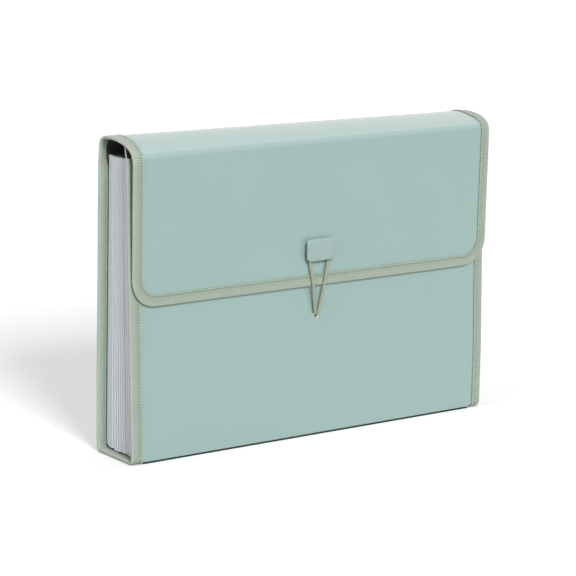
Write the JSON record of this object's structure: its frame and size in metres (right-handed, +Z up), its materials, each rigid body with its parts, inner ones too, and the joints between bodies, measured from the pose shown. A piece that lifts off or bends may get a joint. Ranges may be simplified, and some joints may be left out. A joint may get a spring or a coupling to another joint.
{
  "type": "expanding file folder",
  "caption": "Expanding file: wraparound plastic cover with taped edges, domed lid and flap, pleated pocket insert with index tabs, and a button closure with an elastic loop.",
  "frame": {"origin": "middle of the bounding box, at the underside of the base tapes", "axes": "+X along the folder's width, to the right as seen from the front; the front cover and flap face -Y; +Z up"},
  "size_m": [0.33, 0.0626, 0.2467],
  "materials": {
    "mint_sheet": "satin extruded polypropylene sheet with a faint sand grain",
    "sage_tape": "woven polyester edge tape, stitched",
    "black_sheet": "fine-grained polypropylene sheet",
    "frosted_sheet": "frosted polypropylene film",
    "white_tab": "white card under clear film",
    "button_plastic": "moulded satin plastic",
    "elastic": "braided cover over a round rubber core",
    "plated_steel": "nickel plated"
  },
  "bodies": {
    "back": {"back_cover": "mint_sheet", "base_panel": "mint_sheet", "back_binding_left": "sage_tape", "back_binding_right": "sage_tape", "base_binding_left": "sage_tape", "base_binding_right": "sage_tape", "rear_liner": "black_sheet", "gusset_left": "frosted_sheet", "gusset_right": "frosted_sheet", "insert_floor": "frosted_sheet"},
    "front": {"front_cover": "mint_sheet", "front_binding_left": "sage_tape", "front_binding_right": "sage_tape", "front_wall": "frosted_sheet", "eyelet": "plated_steel", "cord_stop": "button_plastic"},
    "lid": {"top_panel": "mint_sheet", "top_binding_left": "sage_tape", "top_binding_right": "sage_tape"},
    "flap": {"flap": "mint_sheet", "flap_binding": "sage_tape", "closure_button": "button_plastic", "button_backplate": "button_plastic"},
    "elastic": {"elastic_loop": "elastic"},
    "fan_01": {"divider_01": "black_sheet", "index_tab_01": "white_tab"},
    "fan_02": {"divider_02": "black_sheet", "index_tab_02": "white_tab"},
    "fan_03": {"divider_03": "black_sheet", "index_tab_03": "white_tab"},
    "fan_04": {"divider_04": "black_sheet", "index_tab_04": "white_tab"},
    "fan_05": {"divider_05": "black_sheet", "index_tab_05": "white_tab"},
    "fan_06": {"divider_06": "black_sheet", "index_tab_06": "white_tab"},
    "fan_07": {"divider_07": "black_sheet", "index_tab_07": "white_tab"},
    "fan_08": {"divider_08": "black_sheet", "index_tab_08": "white_tab"},
    "fan_09": {"divider_09": "black_sheet", "index_tab_09": "white_tab"},
    "fan_10": {"divider_10": "black_sheet", "index_tab_10": "white_tab"},
    "fan_11": {"divider_11": "black_sheet", "index_tab_11": "white_tab"},
    "fan_12": {"divider_12": "black_sheet", "index_tab_12": "white_tab"}
  },
  "joints": [
    {"name": "lid_hinge", "type": "hinge", "parent": "back", "child": "lid", "pos_m": [0, 0.02076, 0.2361], "axis": [-1, 0, 0], "range_deg": [0, 200]},
    {"name": "flap_hinge", "type": "hinge", "parent": "lid", "child": "flap", "pos_m": [0, -0.02944, 0.2361], "axis": [-1, 0, 0], "range_deg": [0, 150]},
    {"name": "elastic_hinge", "type": "hinge", "parent": "front", "child": "elastic", "pos_m": [0, -0.02309, 0.09551], "axis": [1, 0, 0], "range_deg": [0, 165], "deforming": ["elastic_loop"]},
    {"name": "front_hinge", "type": "hinge", "parent": "back", "child": "front", "pos_m": [0, -0.02274, 0.0053], "axis": [1, 0, 0], "range_deg": [0, 20], "deforming": ["gusset_left", "gusset_right", "insert_floor"]},
    {"name": "fan_hinge_01", "type": "hinge", "parent": "back", "child": "fan_01", "pos_m": [0, -0.02274, 0.0053], "axis": [1, 0, 0], "range_deg": [0, 0.34]},
    {"name": "fan_hinge_02", "type": "hinge", "parent": "back", "child": "fan_02", "pos_m": [0, -0.02274, 0.0053], "axis": [1, 0, 0], "range_deg": [0, 1.28]},
    {"name": "fan_hinge_03", "type": "hinge", "parent": "back", "child": "fan_03", "pos_m": [0, -0.02274, 0.0053], "axis": [1, 0, 0], "range_deg": [0, 2.71]},
    {"name": "fan_hinge_04", "type": "hinge", "parent": "back", "child": "fan_04", "pos_m": [0, -0.02274, 0.0053], "axis": [1, 0, 0], "range_deg": [0, 4.52]},
    {"name": "fan_hinge_05", "type": "hinge", "parent": "back", "child": "fan_05", "pos_m": [0, -0.02274, 0.0053], "axis": [1, 0, 0], "range_deg": [0, 6.61]},
    {"name": "fan_hinge_06", "type": "hinge", "parent": "back", "child": "fan_06", "pos_m": [0, -0.02274, 0.0053], "axis": [1, 0, 0], "range_deg": [0, 8.86]},
    {"name": "fan_hinge_07", "type": "hinge", "parent": "back", "child": "fan_07", "pos_m": [0, -0.02274, 0.0053], "axis": [1, 0, 0], "range_deg": [0, 11.16]},
    {"name": "fan_hinge_08", "type": "hinge", "parent": "back", "child": "fan_08", "pos_m": [0, -0.02274, 0.0053], "axis": [1, 0, 0], "range_deg": [0, 13.41]},
    {"name": "fan_hinge_09", "type": "hinge", "parent": "back", "child": "fan_09", "pos_m": [0, -0.02274, 0.0053], "axis": [1, 0, 0], "range_deg": [0, 15.49]},
    {"name": "fan_hinge_10", "type": "hinge", "parent": "back", "child": "fan_10", "pos_m": [0, -0.02274, 0.0053], "axis": [1, 0, 0], "range_deg": [0, 17.3]},
    {"name": "fan_hinge_11", "type": "hinge", "parent": "back", "child": "fan_11", "pos_m": [0, -0.02274, 0.0053], "axis": [1, 0, 0], "range_deg": [0, 18.73]},
    {"name": "fan_hinge_12", "type": "hinge", "parent": "back", "child": "fan_12", "pos_m": [0, -0.02274, 0.0053], "axis": [1, 0, 0], "range_deg": [0, 19.67]}
  ],
  "couplings": [
    {"joint": "front_hinge", "follows": "lid_hinge", "ratio": 0.1},
    {"joint": "fan_hinge_01", "follows": "lid_hinge", "ratio": 0.001684},
    {"joint": "fan_hinge_02", "follows": "lid_hinge", "ratio": 0.006372},
    {"joint": "fan_hinge_03", "follows": "lid_hinge", "ratio": 0.013518},
    {"joint": "fan_hinge_04", "follows": "lid_hinge", "ratio": 0.022576},
    {"joint": "fan_hinge_05", "follows": "lid_hinge", "ratio": 0.033},
    {"joint": "fan_hinge_06", "follows": "lid_hinge", "ratio": 0.044242},
    {"joint": "fan_hinge_07", "follows": "lid_hinge", "ratio": 0.055758},
    {"joint": "fan_hinge_08", "follows": "lid_hinge", "ratio": 0.067},
    {"joint": "fan_hinge_09", "follows": "lid_hinge", "ratio": 0.077424},
    {"joint": "fan_hinge_10", "follows": "lid_hinge", "ratio": 0.086482},
    {"joint": "fan_hinge_11", "follows": "lid_hinge", "ratio": 0.093628},
    {"joint": "fan_hinge_12", "follows": "lid_hinge", "ratio": 0.098316}
  ]
}
